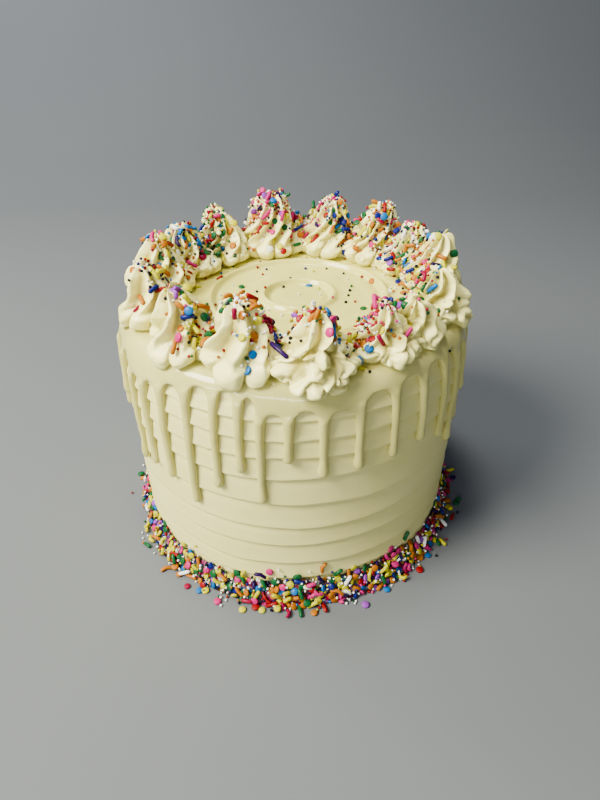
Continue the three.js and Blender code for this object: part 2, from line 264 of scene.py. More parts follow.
def new_material(name):
    material = bpy.data.materials.new(name)
    material.use_nodes = True
    tree = material.node_tree
    shader = tree.nodes["Principled BSDF"]
    return material, tree, shader


def object_noise(tree, scale, detail=4.0, roughness=0.5):
    place = tree.nodes.new("ShaderNodeTexCoord")
    pattern = tree.nodes.new("ShaderNodeTexNoise")
    pattern.inputs["Scale"].default_value = scale
    pattern.inputs["Detail"].default_value = detail
    pattern.inputs["Roughness"].default_value = roughness
    tree.links.new(place.outputs["Object"], pattern.inputs["Vector"])
    return pattern


def ramp(tree, source, stops):
    node = tree.nodes.new("ShaderNodeValToRGB")
    elements = node.color_ramp.elements
    while len(elements) < len(stops):
        elements.new(0.5)
    for element, (position, colour) in zip(elements, stops):
        element.position = position
        element.color = (*colour, 1)
    tree.links.new(source, node.inputs["Fac"])
    return node


def spread(tree, source, low, high):
    node = tree.nodes.new("ShaderNodeMapRange")
    node.inputs["To Min"].default_value = low
    node.inputs["To Max"].default_value = high
    tree.links.new(source, node.inputs["Value"])
    return node


def bumped(tree, shader, source, strength, distance):
    node = tree.nodes.new("ShaderNodeBump")
    node.inputs["Strength"].default_value = strength
    node.inputs["Distance"].default_value = distance
    tree.links.new(source, node.inputs["Height"])
    tree.links.new(node.outputs["Normal"], shader.inputs["Normal"])


# Places of the colour sockets on Blender's mix node.
MIX_FIRST_COLOUR, MIX_SECOND_COLOUR, MIX_COLOUR_RESULT = 6, 7, 2


def cream_material(name, light, deep, roughness, grain, softness, fold=None):
    """Buttercream: a soft sheen, a slight drift of colour and fine air marks."""
    material, tree, shader = new_material(name)
    drift = object_noise(tree, 45, 5, 0.6)
    tint = ramp(tree, drift.outputs["Fac"], ((0.3, deep), (0.7, light))).outputs["Color"]
    # The fold colour is painted shade: where the 'hollow' attribute is high it darkens and yellows the
    # cream in the creases and hollows of the swirls.
    if fold:
        hollow = tree.nodes.new("ShaderNodeAttribute")
        hollow.attribute_name = "hollow"
        mix = tree.nodes.new("ShaderNodeMix")
        mix.data_type = "RGBA"
        tree.links.new(hollow.outputs["Fac"], mix.inputs["Factor"])
        tree.links.new(tint, mix.inputs[MIX_FIRST_COLOUR])
        mix.inputs[MIX_SECOND_COLOUR].default_value = (*fold, 1)
        tint = mix.outputs[MIX_COLOUR_RESULT]
    tree.links.new(tint, shader.inputs["Base Color"])
    sheen = spread(tree, drift.outputs["Fac"], roughness - 0.06, roughness + 0.06)
    tree.links.new(sheen.outputs["Result"], shader.inputs["Roughness"])
    fine = object_noise(tree, 900, 3, 0.55)
    bumped(tree, shader, fine.outputs["Fac"], grain, 0.0003)
    shader.inputs["Subsurface Weight"].default_value = softness
    shader.inputs["Subsurface Radius"].default_value = (1.0, 0.75, 0.4)
    shader.inputs["Subsurface Scale"].default_value = 0.002
    shader.inputs["IOR"].default_value = 1.45
    return material


# Two colour differences here are partly the materials' own colours and partly painted light and shade. The
# piped cream is lighter than the side's cream, with painted light on the swirls. The glaze of the rim and
# drips is darker than the pooled top, with painted shade on the side.
CREAM_LIGHT = (0.76, 0.70, 0.27)
CREAM_DEEP = (0.74, 0.675, 0.23)
SWIRL_LIGHT = (0.93, 0.88, 0.34)
SWIRL_DEEP = (0.91, 0.85, 0.29)
# Painted shade: the darker, yellower cream colour given to the creases and hollows of the swirls.
SWIRL_CREASE_SHADE = (0.56, 0.48, 0.11)
GLAZE_LIGHT = (0.575, 0.535, 0.18)
GLAZE_DEEP = (0.555, 0.51, 0.15)
POOL_LIGHT = (0.63, 0.59, 0.15)
POOL_DEEP = (0.61, 0.565, 0.12)

cream = cream_material("ivory_buttercream", CREAM_LIGHT, CREAM_DEEP, 0.46, 0.12, 0.12)
piped_cream = cream_material("piped_buttercream", SWIRL_LIGHT, SWIRL_DEEP, 0.34, 0.12, 0.07, SWIRL_CREASE_SHADE)
glossy = cream_material("poured_glaze", GLAZE_LIGHT, GLAZE_DEEP, 0.1, 0.03, 0.12)
pooled = cream_material("pooled_glaze", POOL_LIGHT, POOL_DEEP, 0.16, 0.03, 0.12)

SPRINKLE_COLOURS = {
    "red": (0.22, 0.002, 0.003), "orange": (0.36, 0.11, 0.0), "yellow": (0.49, 0.45, 0.0),
    "green": (0.004, 0.078, 0.02), "royal_blue": (0.004, 0.008, 0.12),
    "sky_blue": (0.0, 0.1, 0.32), "pink": (0.44, 0.01, 0.13), "crimson": (0.22, 0.0, 0.03),
    "lavender": (0.23, 0.045, 0.36),
    "violet": (0.013, 0.0, 0.045), "white": (0.8, 0.79, 0.72), "navy": (0.004, 0.004, 0.016),
}


def sugar_material(name, colour):
    """A sugar sprinkle: waxy, faintly mottled."""
    material, tree, shader = new_material("sprinkle_" + name)
    shader.inputs["Base Color"].default_value = (*colour, 1)
    mottle = object_noise(tree, 1400, 2, 0.5)
    sheen = spread(tree, mottle.outputs["Fac"], 0.22, 0.4)
    tree.links.new(sheen.outputs["Result"], shader.inputs["Roughness"])
    shader.inputs["Specular IOR Level"].default_value = 0.16
    bumped(tree, shader, mottle.outputs["Fac"], 0.15, 0.0002)
    return material


sugars = {name: sugar_material(name, colour) for name, colour in SPRINKLE_COLOURS.items()}


# Painted shade: how dark the imported inside of the bank is beside the sprinkles that lie on it, as the
# gaps between them fall in shadow.
PACKED_SHADE = 0.4


def bank_material():
    """What shows between the sprinkles of the bank: more of them, close packed, their colours darkened as
    painted shade.
    """
    material, tree, shader = new_material("packed_sprinkles")
    place = tree.nodes.new("ShaderNodeTexCoord")
    grains = tree.nodes.new("ShaderNodeTexVoronoi")
    grains.inputs["Scale"].default_value = 420.0
    tree.links.new(place.outputs["Object"], grains.inputs["Vector"])
    apart = tree.nodes.new("ShaderNodeSeparateColor")
    tree.links.new(grains.outputs["Color"], apart.inputs["Color"])
    count = len(SPRINKLE_COLOURS)
    # Painted shade: each sprinkle colour is darkened by PACKED_SHADE.
    shaded = [[PACKED_SHADE * part for part in colour] for colour in SPRINKLE_COLOURS.values()]
    stops = [(index / count, colour) for index, colour in enumerate(shaded)]
    tint = ramp(tree, apart.outputs["Red"], stops)
    tint.color_ramp.interpolation = "CONSTANT"
    tree.links.new(tint.outputs["Color"], shader.inputs["Base Color"])
    shader.inputs["Roughness"].default_value = 0.45
    bumped(tree, shader, grains.outputs["Distance"], 1.0, 0.001)
    return material


# ------------------------------------------------------------------ buttercream body

def body_profile():
    """Radius and height up the side: each band is a little hollow and ends in a lip below."""
    half = BAND_RECESS / 2
    profile = [(BODY_RADIUS - half, 0.0), (BODY_RADIUS - half * 0.3, 2.0)]

    def add(z, offset):
        profile.append((side_radius(z) + offset * BAND_RECESS, z))

    floors = [2.0, *BAND_EDGES]
    tops = [*BAND_EDGES, LAST_BAND_TOP]
    for floor, top in zip(floors, tops):
        for share, offset in ((0.18, 0.1), (0.36, -0.12), (0.55, -0.25), (0.74, -0.42), (0.9, -0.75)):
            add(between(floor + LIP_HEIGHT, top - 0.5, share), offset)
        if top != LAST_BAND_TOP:
            for rise, offset in ((-0.35, -1.0), (-0.05, -0.85), (0.1, 0.05), (0.4, 0.32), (0.9, 0.3)):
                add(top + rise, offset)
    for step in range(1, 9):
        add(edge_height(step / 8, LAST_BAND_TOP, 0.0), 0)
    return profile


def waver(point_x, point_y, point_z):
    """How the turned side departs from a true one: edges drift up and down and fade."""
    angle_x, angle_y = point_x / BODY_RADIUS, point_y / BODY_RADIUS
    radius = math.hypot(point_x, point_y)
    if radius < BODY_RADIUS - SHOULDER_IN:
        return point_x, point_y, point_z
    side = smooth_step(0.5, 6, point_z) * (1 - smooth_step(100, 112, point_z))
    lift = 1.9 * wave(angle_x * 1.3, angle_y * 1.3, point_z / 16, 1)
    lift += 0.7 * wave(angle_x * 4, angle_y * 4, point_z / 9, 2)
    lift += 0.22 * wave(angle_x * 13, angle_y * 13, point_z / 6, 3)
    strength = 0.95 + 0.5 * wave(angle_x * 2.2, angle_y * 2.2, point_z / 11, 4)
    relief = radius - side_radius(point_z)
    dent = 0.22 * wave(angle_x * 2.5, angle_y * 2.5, point_z / 20, 5)
    dent += 0.05 * wave(angle_x * 20, angle_y * 20, point_z / 3, 6)
    risen = point_z + lift * side
    scale = (side_radius(risen) + relief * between(1, strength, side) + (dent - 0.15) * side) / radius
    return point_x * scale, point_y * scale, risen


def buttercream_body():
    piece = turned_blank(body_profile(), 480)
    reshape(piece, waver)
    shade_smooth(piece)
    return settle(piece, "buttercream_body", cream, ["cake_body"])


# ------------------------------------------------------------------ glaze

def all_drips():
    draw = Stream(7)
    drips = [{"angle": angle, "tip": tip, "arch_top": top} for angle, tip, top in FRONT_DRIPS]
    start = drips[-1]["angle"]
    pitch = (360 + drips[0]["angle"] - start) / (BACK_DRIP_COUNT + 1)
    for i in range(1, BACK_DRIP_COUNT + 1):
        angle = start + pitch * (i + between(-0.18, 0.18, draw()))
        tip = between(DRIP_TIP_LOW, DRIP_TIP_HIGH, draw())
        arch_top = between(ARCH_TOP_LOW, ARCH_TOP_HIGH, draw())
        drips.append({"angle": angle, "tip": tip, "arch_top": arch_top})
    return drips


def arch_edge(degrees, drips):
    """Height of the skin's lower edge: a round-topped arch between each two drips."""
    for index, drip in enumerate(drips):
        following = drips[(index + 1) % len(drips)]
        start = drip["angle"]
        end = following["angle"] + (360 if index + 1 == len(drips) else 0)
        turn = (degrees - start) % 360
        if turn <= (end - start) % 360:
            half = (end - start) / 2
            bead = math.degrees(DRIP_RADIUS * 0.8 / BODY_RADIUS)
            share = min(1.0, abs(turn - half) / (half - bead))
            return drip["arch_top"] - ARCH_DROP * (1 - math.sqrt(max(0.0, 1 - share ** 2.8)))
    raise ValueError(degrees)


def hanging_skin(drips):
    """The glaze over the rim, with its underside: rings of points are drawn outwards and down."""
    sides = 540
    rows = 16
    deselect_all()
    bpy.ops.mesh.primitive_circle_add(vertices=sides, radius=RING_INNER_RADIUS * MM, location=(0, 0, 0))
    piece = bpy.context.object
    bpy.ops.object.mode_set(mode="EDIT")
    bpy.ops.mesh.select_mode(type="EDGE")
    bpy.ops.mesh.select_all(action="SELECT")
    for _ in range(2 * rows + 2):
        bpy.ops.mesh.extrude_region_move(TRANSFORM_OT_translate={"value": (0, 0, MM)})
    bpy.ops.object.mode_set(mode="OBJECT")
    points = coordinates(piece)
    level = np.rint(points[:, 2]).astype(int)
    result = []
    for (x, y, _), row in zip(points, level):
        degrees = math.degrees(math.atan2(y, x))
        edge = arch_edge(degrees, drips)
        if row in (0, 2 * rows + 2):
            radius, z = RING_INNER_RADIUS, GLAZE_TOP
        elif row <= rows:
            z = edge_height(1 - (row - 1) / (rows - 1), edge, GLAZE)
            radius = side_radius(z, GLAZE)
        elif row <= 2 * rows:
            z = edge_height((row - rows - 1) / (rows - 1), edge, -0.3)
            radius = side_radius(z, -0.3)
        else:
            radius, z = RING_INNER_RADIUS, BODY_HEIGHT - 0.3
        result.append(polar(radius, degrees, z))
    set_coordinates(piece, result)
    bpy.ops.object.mode_set(mode="EDIT")
    bpy.ops.mesh.select_all(action="SELECT")
    bpy.ops.mesh.remove_doubles(threshold=1e-3 * MM)
    bpy.ops.mesh.normals_make_consistent(inside=False)
    bpy.ops.object.mode_set(mode="OBJECT")
    return piece


def drip_bead(drip, draw):
    """One drip: a round bead with a fuller tip, standing half out of the side."""
    tip, arch = drip["tip"], drip["arch_top"] - ARCH_DROP
    neck = DRIP_RADIUS * between(0.88, 1.05, draw())
    bulb = BULB_RADIUS * between(0.92, 1.08, draw())
    profile = [
        (bulb * 0.3, tip), (bulb * 0.72, tip + 0.5), (bulb * 0.95, tip + 1.5), (bulb, tip + 2.8),
        (bulb * 0.96, tip + 4.2), (between(neck, bulb, 0.3), tip + 6.5), (neck * 0.95, tip + 10),
        (neck, between(tip + 10, arch, 0.5)), (neck * 1.12, arch - 1), (neck * 1.35, arch + 4),
        (neck * 1.1, arch + 8),
    ]
    piece = turned_blank(profile, 20)
    bead = coordinates(piece)
    sway_seed = drip["angle"]
    moved = []
    for x, y, z in bead:
        below = smooth_step(0, 30, arch + 6 - z)
        sway = 0.9 * below * noise.noise(Vector((sway_seed, z / 26, 0)))
        point = Vector((x * 0.92, y + sway, z))
        point.rotate(Matrix.Rotation(math.radians(drip["angle"]), 3, "Z"))
        pull = smooth_step(arch + 4, arch + 9, z) * 1.5
        moved.append(point + polar(side_radius(z, 0.35) - pull, drip["angle"]))
    set_coordinates(piece, moved)
    return piece


def glaze_ring():
    drips = all_drips()
    draw = Stream(17)
    parts = [hanging_skin(drips)] + [drip_bead(drip, draw) for drip in drips]
    deselect_all()
    for part in parts:
        part.select_set(True)
    bpy.context.view_layer.objects.active = parts[0]
    bpy.ops.object.join()
    piece = bpy.context.object
    fuse = piece.modifiers.new("fuse", "REMESH")
    fuse.mode = "VOXEL"
    fuse.voxel_size = 0.74 * MM
    fuse.use_smooth_shade = True
    melt = piece.modifiers.new("melt", "SMOOTH")
    melt.factor = 0.5
    melt.iterations = 6
    apply_modifiers(piece)
    reshape(piece, ripple)
    shade_smooth(piece)
    return settle(piece, "glaze_with_drips", glossy, ["glaze"])


def ripple(x, y, z):
    """The poured surface swells a little between the drips."""
    radius = math.hypot(x, y)
    swell = 0.3 * wave(x / 9, y / 9, z / 12, 8) + 0.13 * wave(x / 4, y / 4, z / 6, 9)
    swell *= smooth_step(70, 80, radius)
    scale = (radius + swell) / radius
    return x * scale, y * scale, z


def glaze_plate():
    """The smooth middle of the top, with its spatula rings."""
    sides = 288
    profile = [(PLATE_RADIUS, GLAZE_TOP - 1.2), (PLATE_RADIUS - 0.5, GLAZE_TOP - 0.5)]
    radius = PLATE_RADIUS - 1.5
    while radius > 1.0:
        profile.append((radius, GLAZE_TOP))
        radius -= 0.55
    profile.append((0.6, GLAZE_TOP))
    piece = turned_blank(profile, sides, centre=TOP_CENTRE)

    def relief(x, y, z):
        dx, dy = x - TOP_CENTRE.x, y - TOP_CENTRE.y
        r = math.hypot(dx, dy)
        if z < GLAZE_TOP - 0.1:
            return x, y, z
        drift = 1.2 * wave(dx / 30, dy / 30, 0, 11)
        a = math.atan2(dy, dx)
        height = 0.0
        for ring in SPATULA_RINGS:
            d = r - ring - drift
            crest = math.exp(-(abs(d) / (1.9 if d > 0 else 1.1)) ** 2.5)
            height += 2.3 * crest * (0.85 + 0.25 * math.sin(a + ring))
            height -= 0.6 * math.exp(-((d + 2.6) / 1.4) ** 2)
            height -= 0.3 * (1 - smooth_step(-3, 0, d))
        spiral = math.sin((r / 8 + a / (2 * math.pi)) * 2 * math.pi)
        height += 0.12 * spiral * smooth_step(4, 10, r) * (1 - smooth_step(50, 58, r))
        height += 0.18 * wave(dx / 16, dy / 16, 0, 12)
        height *= 1 - smooth_step(58, 64, r)
        edge = 0.25 * smooth_step(PLATE_RADIUS - 6, PLATE_RADIUS - 1.5, r)
        return x, y, z + height + 0.12 - edge

    reshape(piece, relief)
    shade_smooth(piece)
    return settle(piece, "glaze_top", pooled, ["glaze"])


# ------------------------------------------------------------------ piped swirls

SWIRL_COLUMNS = 144
SWIRL_LEVELS = 52
# Outlines of a swirl as height and radius fractions: a slender one and a full one.
SLENDER_OUTLINE = (
    (0.0, 0.78), (0.04, 0.92), (0.1, 1.0), (0.18, 1.0), (0.25, 0.93), (0.3, 0.82), (0.34, 0.79),
    (0.42, 0.74), (0.55, 0.64), (0.7, 0.52), (0.84, 0.4), (0.93, 0.3), (0.98, 0.2), (1.0, 0.1),
)
FULL_OUTLINE = (
    (0.0, 0.78), (0.04, 0.9), (0.1, 0.98), (0.18, 1.0), (0.25, 0.97), (0.3, 0.91), (0.34, 0.88),
    (0.42, 0.85), (0.55, 0.79), (0.7, 0.7), (0.84, 0.56), (0.93, 0.43), (0.98, 0.31), (1.0, 0.16),
)
TWIST_SHARES = ((0.0, 0.0), (0.2, 0.03), (0.34, 0.2), (0.62, 0.74), (0.8, 0.93), (1.0, 1.0))
GROOVE_DEPTHS = (
    (0.0, 0.24), (0.1, 0.28), (0.24, 0.32), (0.34, 0.36), (0.55, 0.43), (0.8, 0.5), (1.0, 0.55),
)


def along(table, x):
    """A value read from a short table, eased between its entries."""
    for (x0, y0), (x1, y1) in zip(table, table[1:]):
        if x <= x1:
            return between(y0, y1, (x - x0) / (x1 - x0))
    return table[-1][1]


def swirl_blank():
    profile = [(10.0, 10.0 * level / SWIRL_LEVELS) for level in range(SWIRL_LEVELS + 1)]
    return turned_blank(profile, SWIRL_COLUMNS)


def swirl_centre(swirl):
    angle, distance = swirl[:2]
    return polar(distance, angle, GLAZE_TOP + 0.3) + TOP_CENTRE.to_3d()


def fin_angle(position):
    """Degrees round a swirl of a fin position: fins stand wider apart near 0 than near 180."""
    even = position / FIN_COUNT * 2 * math.pi
    angle = even
    for _ in range(6):
        angle = even + FIN_SPREAD * math.sin(angle)
    return math.degrees(angle)


def piped_swirl(index, blank):
    swirl = SWIRLS[index]
    base_radius, height, lean_x, lean_y, fullness, ruffle = swirl[2:]
    centre = swirl_centre(swirl)
    outward = math.degrees(math.atan2(centre.y - TOP_CENTRE.y, centre.x - TOP_CENTRE.x))
    draw = Stream(100 + index)
    phase = draw()
    fins = [1 + between(-1, 1, draw()) * 0.1 for _ in range(FIN_COUNT)]
    tips = [between(0.1, 1.3, draw()) for _ in range(FIN_COUNT)]
    shifts = [between(-1, 1, draw()) * 6 for _ in range(FIN_COUNT)]
    bends = [between(-1, 1, draw()) * 12 for _ in range(FIN_COUNT)]
    folds = [0.29 + between(-1, 1, draw()) * 0.06 for _ in range(FIN_COUNT)]
    ribs = [between(0.2, 1.0, draw()) for _ in range(FIN_COUNT)]
    piece = blank.copy()
    piece.data = blank.data.copy()
    bpy.context.scene.collection.objects.link(piece)
    painted_crease_shade = []

    def shape(x, y, z):
        rise = z / 10.0
        position = math.degrees(math.atan2(y, x)) % 360 / 360 * FIN_COUNT
        fin = int(round(position)) % FIN_COUNT
        local = position - round(position)
        beside = (fin + (1 if local > 0 else -1)) % FIN_COUNT
        weight = 1 - abs(local)

        def mixed(values):
            return values[fin] * weight + values[beside] * (1 - weight)

        # The crest of a fin leans over to one side, with a wide hollow between two fins.
        apart = abs(2 * local + 0.16 * (1 - 4 * local * local))
        ridge = (1 - min(1.0, max(0.0, (apart - 0.1) / 0.9))) ** 1.6
        lobe = abs(math.cos(local * math.pi)) ** 0.5
        fold = mixed(folds)
        upper = smooth_step(fold - 0.045, fold + 0.045, rise)
        crest = between(lobe, ridge, upper)
        # How deep in a hollow between fins a point lies, which sets how much painted crease shade it gets.
        hollow = smooth_step(0.35, 1, 1 - crest)
        around = fin_angle(position + phase)
        wide = math.cos(math.radians(around))
        depth = along(GROOVE_DEPTHS, rise) * (0.85 + 0.15 * wide)
        outline = between(along(SLENDER_OUTLINE, rise), along(FULL_OUTLINE, rise), fullness)
        reach = outline * (1 - depth * (1 - crest)) * between(mixed(fins), 1, rise * 0.6)
        # A thin rib stands in the hollow between two fins.
        rib = math.exp(-((abs(local) - 0.5) / 0.09) ** 2) * upper * (1 - smooth_step(0.8, 1, rise))
        reach += 0.05 * rib * mixed(ribs)
        # A ruffled swirl has a slimmer crown above its curls.
        reach *= 1 - 0.25 * ruffle * smooth_step(0.42, 0.6, rise)
        reach += 0.05 * math.exp(-((rise - fold + 0.08) / 0.05) ** 2) * (1 - ridge)
        turn = outward - FIN_TWIST / 2 + around + along(TWIST_SHARES, rise) * FIN_TWIST
        turn += mixed(shifts) * (1 - rise) + mixed(bends) * math.sin(rise * math.pi)
        turn += 5 * math.sin(rise * 9 + fin) * smooth_step(0.3, 0.5, rise) * (1 - rise)
        radius = base_radius * reach
        radius += 0.16 * wave(x / 1.1 + index, y / 1.1, z / 0.8, 21) * smooth_step(0, 0.1, rise)
        if x * x + y * y < 0.01:
            radius, ridge, hollow = 0.0, 0.4, 0.3
        a = math.radians(turn)
        px = centre.x + radius * math.cos(a) + lean_x * rise ** 2
        py = centre.y + radius * math.sin(a) + lean_y * rise ** 2
        sag = GLAZE_TOP - top_height(math.hypot(px, py), GLAZE)
        pz = centre.z + height * rise - min(sag, LOBE_SAG) * (1 - rise) ** 2
        pz += 2.4 * (ridge * mixed(tips) - 0.45) * smooth_step(0.72, 1, rise)
        # Curls: rounded lobes with creases between, where the cream was pressed and pulled.
        billow = min(1.0, 2.6 * abs(wave(px / 5.2, py / 5.2, pz / 4.6, 23 + index)))
        curled = CURL_DEPTH * max(0.0, ruffle - 0.25)
        curled *= smooth_step(0.04, 0.16, rise) * (1 - smooth_step(0.5, 0.72, rise))
        px += math.cos(a) * curled * (billow - 0.5)
        py += math.sin(a) * curled * (billow - 0.5)
        # The creases between curls get painted shade as well.
        hollow = max(hollow, (1 - smooth_step(0, 0.45, billow)) * min(1.0, curled / 2))
        painted_crease_shade.append(hollow)
        drift = noise.noise_vector(Vector((px / 8.5, py / 8.5, pz / 7 + index)))
        fine = noise.noise_vector(Vector((px / 4, py / 4, pz / 3.5 + index)))
        drift += fine * (0.25 + 0.12 * ruffle)
        drift *= (1.0 + 1.3 * ruffle) * smooth_step(0.02, 0.3, rise)
        if rise == 0:
            pz = max(top_height(math.hypot(px, py), GLAZE) - 0.4, centre.z - LOBE_SAG)
        return px + drift.x, py + drift.y, pz + drift.z * 0.7

    reshape(piece, shape)
    # The painted crease shade goes to the material as the 'hollow' attribute.
    piece.data.attributes.new("hollow", "FLOAT", "POINT").data.foreach_set("value", painted_crease_shade)
    shade_smooth(piece)
    name = f"swirl_{index + 1:02d}"
    return settle(piece, "piped_" + name, piped_cream, [name])


# ------------------------------------------------------------------ sprinkles

DISC_RADIUS = 1.8
DISC_THICKNESS = 1.1
ROD_RADIUS = 0.92
ROD_LENGTH = 6.4
BALL_RADIUS = 0.66
BANK_WIDTH = 7.4
BANK_HEIGHT = 12.5
FLOOR_CLEARANCE = 0.05

# How often each colour comes up among the discs, rods and balls.
COLOUR_SHARES = {
    "disc": {"yellow": 23, "orange": 22, "green": 14, "sky_blue": 11, "pink": 11, "lavender": 8,
             "red": 4, "crimson": 4, "royal_blue": 1, "white": 1, "violet": 1},
    "rod": {"orange": 22, "red": 14, "royal_blue": 7, "violet": 3, "white": 9, "pink": 5,
            "yellow": 19, "green": 13, "crimson": 5, "sky_blue": 2, "lavender": 1},
    "ball": {"white": 46, "navy": 14, "red": 11, "orange": 11, "yellow": 9, "royal_blue": 3,
             "green": 5, "pink": 5, "sky_blue": 2, "crimson": 2},
}
# Half the room that one takes up along the surface, and how high it stands when it lies.
SPRINKLE_REACH = {"disc": 1.6, "rod": 1.5, "ball": 0.6}
SPRINKLE_REST = {"disc": DISC_THICKNESS / 2, "rod": ROD_RADIUS, "ball": BALL_RADIUS}

# Strays on the smooth middle and on the rim, as kind, colour, x and y.
LONE_SPRINKLES = (
    ("disc", "sky_blue", 7.7, 8.6), ("disc", "orange", 38.5, 11.4), ("ball", "yellow", 12.4, 5.1),
    ("ball", "royal_blue", 6.5, 26.9), ("ball", "navy", 26.8, 0.3), ("ball", "navy", 25.7, -4.5),
    ("ball", "red", 28.1, -11.4), ("ball", "red", 34.3, 17.5), ("disc", "green", 31.2, -17.8),
    ("disc", "green", -24.7, 6.0), ("ball", "navy", -17.0, 0.3), ("ball", "red", -15.1, 20.2),
    ("disc", "red", -35.7, 14.4), ("ball", "navy", -1.2, 15.3), ("ball", "navy", -33.7, -62.7),
    ("ball", "navy", -15.8, -64.2), ("ball", "navy", 63.2, -48.0), ("ball", "navy", 28.0, -69.4),
)


# One long rod lies across the gap between two swirls of the best side.
BRIDGING_ROD_CENTRE = (-5.3, -72.1, 128.6)
BRIDGING_ROD_ALONG = (7.9, -8.8, -0.9)

# Heaps of sprinkles on the crowns and inner shoulders: x, y, reach, how thick, and the colours
# that come up most in it.
HEAPS = (
    (-57.7, 4.1, 6, 1.0, "yellow"), (-59.5, -19.4, 6.5, 0.9, "violet"), (-53.7, -23.5, 8, 0.7, "navy"),
    (-51, 27, 8, 1.2, "sky_blue"), (-41, 40, 8.5, 1.5, "green"), (-45, 37, 5, 0.8, "red"),
    (-46, -33, 6.5, 0.9, "pink"), (-37.4, -58.5, 5, 1.0, "orange"), (-43, -47, 5, 0.7, "lavender"),
    (-30, -49, 7, 1.5, "royal_blue"), (-17.5, -61.5, 6, 1.4, "orange"), (-9.3, -59.5, 5.5, 1.4, "crimson"),
    (-4, -56, 5, 1.0, "green"), (3, -60, 6, 1.6, "lavender"), (9, -63, 6, 1.3, "orange"),
    (13, -66, 4.5, 0.8, "sky_blue"), (-15.7, -72, 4, 0.25, "orange"), (30.3, -52, 7, 1.3, "pink"),
    (27, -57, 6, 0.9, "red"), (44, -38, 7, 0.8, "green"), (53, -22, 8, 1.3, "green"),
    (57, -16, 6, 1.2, "royal_blue"), (56, 2, 6.5, 0.9, "orange"), (58.2, 15.6, 8.5, 1.3, "green"),
    (46.3, 38, 8.5, 1.4, "orange"), (50, 24, 6.5, 0.9, "royal_blue"), (-11.3, 54.5, 9.5, 1.3, "pink"),
    (-22, 59, 5, 0.6, "yellow"), (7, 55, 6, 1.2, "crimson"), (18, 52, 7, 0.8, "pink"),
    (27.4, 49, 7.5, 1.2, "royal_blue"), (38, 45, 6, 0.9, "green"),
)
FAVOURED_SHARE = 0.2


def sprinkle_blanks():
    """One disc, one straight and one bent rod, and one ball, as points and faces."""
    deselect_all()
    bpy.ops.mesh.primitive_cylinder_add(
        vertices=10, radius=DISC_RADIUS * MM, depth=DISC_THICKNESS * MM, location=(0, 0, 0))
    disc = bevelled(bpy.context.object, 0.25)
    deselect_all()
    bpy.ops.mesh.primitive_cylinder_add(
        vertices=8, radius=ROD_RADIUS * MM, depth=ROD_LENGTH * MM, location=(0, 0, 0))
    rod = bevelled(bpy.context.object, 0.5)
    reshape(rod, lambda x, y, z: (z, x, y))
    bent = rod.copy()
    bent.data = rod.data.copy()
    bpy.context.scene.collection.objects.link(bent)
    deselect_all()
    bent.select_set(True)
    bpy.context.view_layer.objects.active = bent
    bpy.ops.object.mode_set(mode="EDIT")
    bpy.ops.mesh.select_all(action="SELECT")
    bpy.ops.mesh.bisect(plane_co=(0, 0, 0), plane_no=(1, 0, 0))
    bpy.ops.object.mode_set(mode="OBJECT")
    bow = 1.2
    reshape(bent, lambda x, y, z: (x * 0.97, y + bow * (1 - (2 * x / ROD_LENGTH) ** 2), z))
    deselect_all()
    bpy.ops.mesh.primitive_uv_sphere_add(
        segments=7, ring_count=4, radius=BALL_RADIUS * MM, location=(0, 0, 0))
    ball = bpy.context.object
    blanks = {"disc": [disc], "rod": [rod, rod, bent], "ball": [ball]}
    shapes = {
        kind: [(coordinates(piece), rings_in_order(piece)) for piece in pieces]
        for kind, pieces in blanks.items()
    }
    for piece in (disc, rod, bent, ball):
        bpy.data.objects.remove(piece)
    return shapes


def bevelled(piece, width):
    """Rounds the two end edges of a cylinder."""
    bpy.ops.object.mode_set(mode="EDIT")
    bpy.ops.mesh.select_mode(type="FACE")
    bpy.ops.mesh.select_all(action="DESELECT")
    bpy.ops.object.mode_set(mode="OBJECT")
    for face in piece.data.polygons:
        face.select = abs(face.normal.z) > 0.9
    bpy.ops.object.mode_set(mode="EDIT")
    bpy.ops.mesh.region_to_loop()
    bpy.ops.mesh.bevel(offset=width * MM, segments=1, affect="EDGES")
    bpy.ops.object.mode_set(mode="OBJECT")
    return piece


